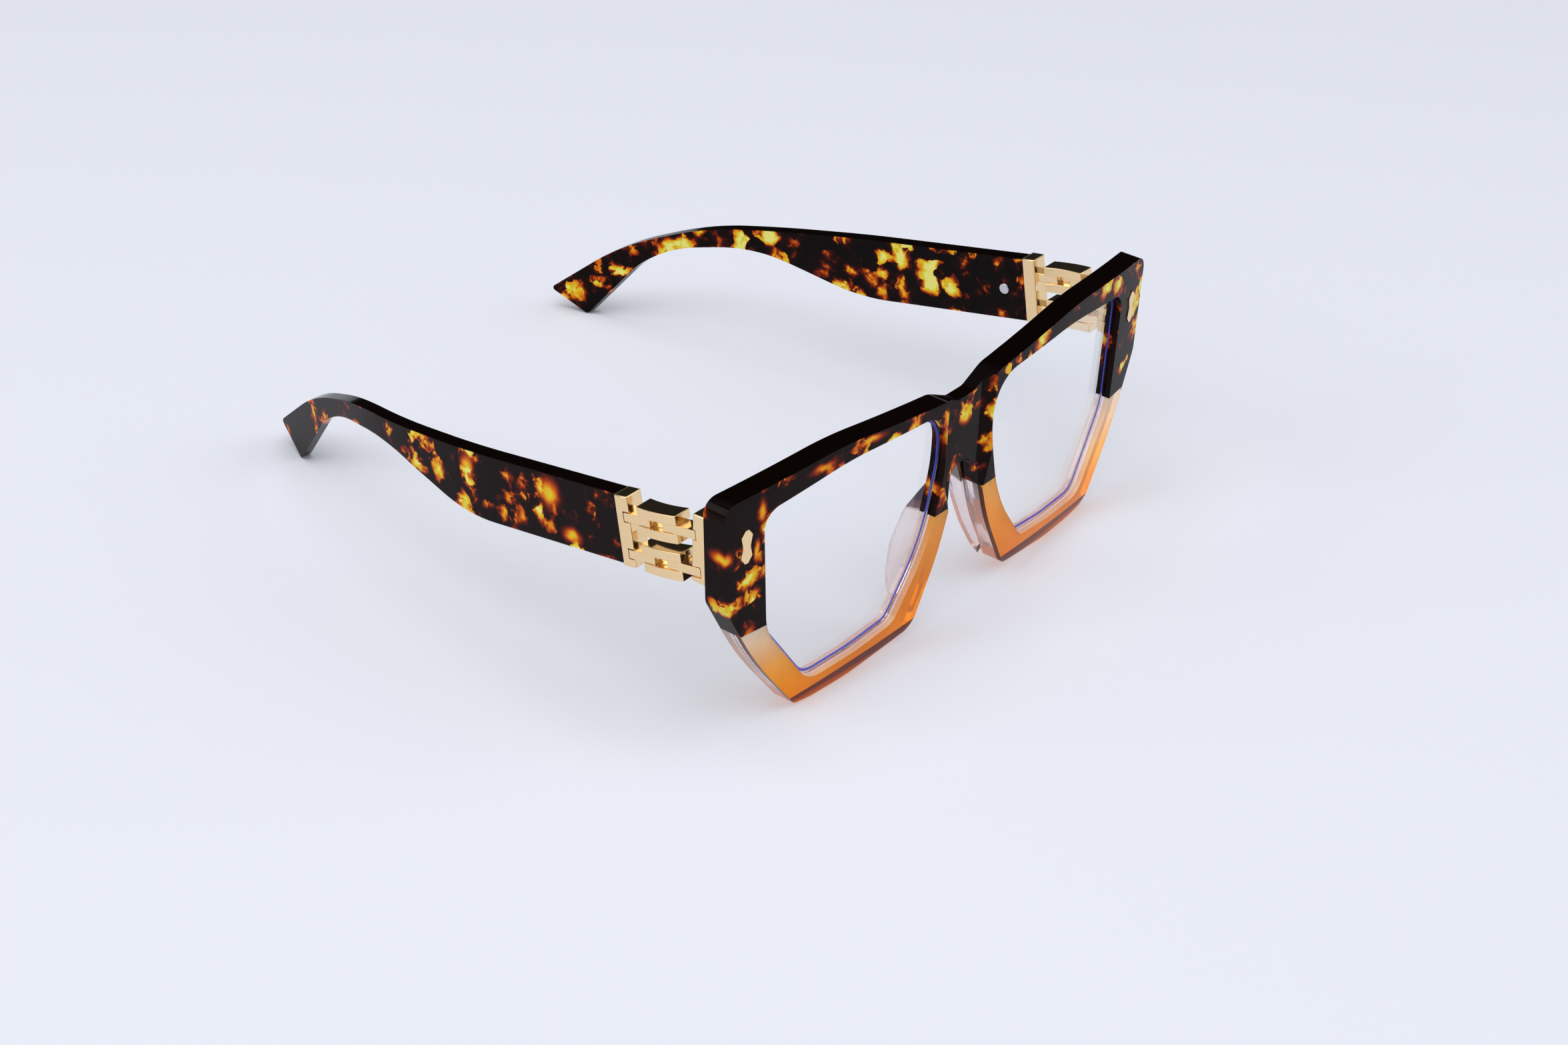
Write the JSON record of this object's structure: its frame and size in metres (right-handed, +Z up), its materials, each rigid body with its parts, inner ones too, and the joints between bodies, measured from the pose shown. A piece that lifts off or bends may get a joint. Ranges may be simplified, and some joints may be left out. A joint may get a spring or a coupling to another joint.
{
  "type": "spectacles",
  "caption": "Acetate spectacles with a dark tortoiseshell brow, amber lower rims, clear lenses, gold link hinges and temples that fold.",
  "frame": {"origin": "on the surface the spectacles stand on, on the middle plane, midway between the front face and the temple tips", "axes": "+X to the wearer's left, +Y from the front back to the temple tips, +Z up"},
  "size_m": [0.1426, 0.1548, 0.0553],
  "materials": {
    "tortoiseshell": "polished dark tortoiseshell cellulose acetate with amber and yellow flakes",
    "amber": "polished translucent honey amber cellulose acetate",
    "crystal": "polished clear cellulose acetate with a faint pink cast",
    "lens": "clear coated plastic lens with a faint blue residual reflection",
    "gold": "polished pale gold plating on cast alloy",
    "steel": "bright stainless steel"
  },
  "bodies": {
    "front": {"front_upper": "tortoiseshell", "rim_front_right": "amber", "rim_front_left": "amber", "rim_back_right": "crystal", "rim_back_left": "crystal", "nose_pad_right": "crystal", "nose_pad_left": "crystal", "lens_right": "lens", "lens_left": "lens", "plaque_right": "gold", "plaque_left": "gold", "hinge_front_right": "gold", "hinge_front_left": "gold", "hinge_screw_right": "steel", "hinge_screw_left": "steel"},
    "right_temple": {"hinge_bar_right": "gold", "link_upper_right": "gold", "link_lower_right": "gold", "temple_cap_right": "gold", "temple_right": "tortoiseshell", "core_wire_right": "steel", "temple_pin_right": "steel"},
    "left_temple": {"hinge_bar_left": "gold", "link_upper_left": "gold", "link_lower_left": "gold", "temple_cap_left": "gold", "temple_left": "tortoiseshell", "core_wire_left": "steel", "temple_pin_left": "steel"}
  },
  "joints": [
    {"name": "right_temple_fold", "type": "hinge", "parent": "front", "child": "right_temple", "pos_m": [-0.0642, -0.06635, 0.0419], "axis": [0, 0, -1], "range_deg": [0, 83]},
    {"name": "left_temple_fold", "type": "hinge", "parent": "front", "child": "left_temple", "pos_m": [0.0642, -0.06635, 0.0419], "axis": [0, 0, 1], "range_deg": [0, 72]}
  ]
}
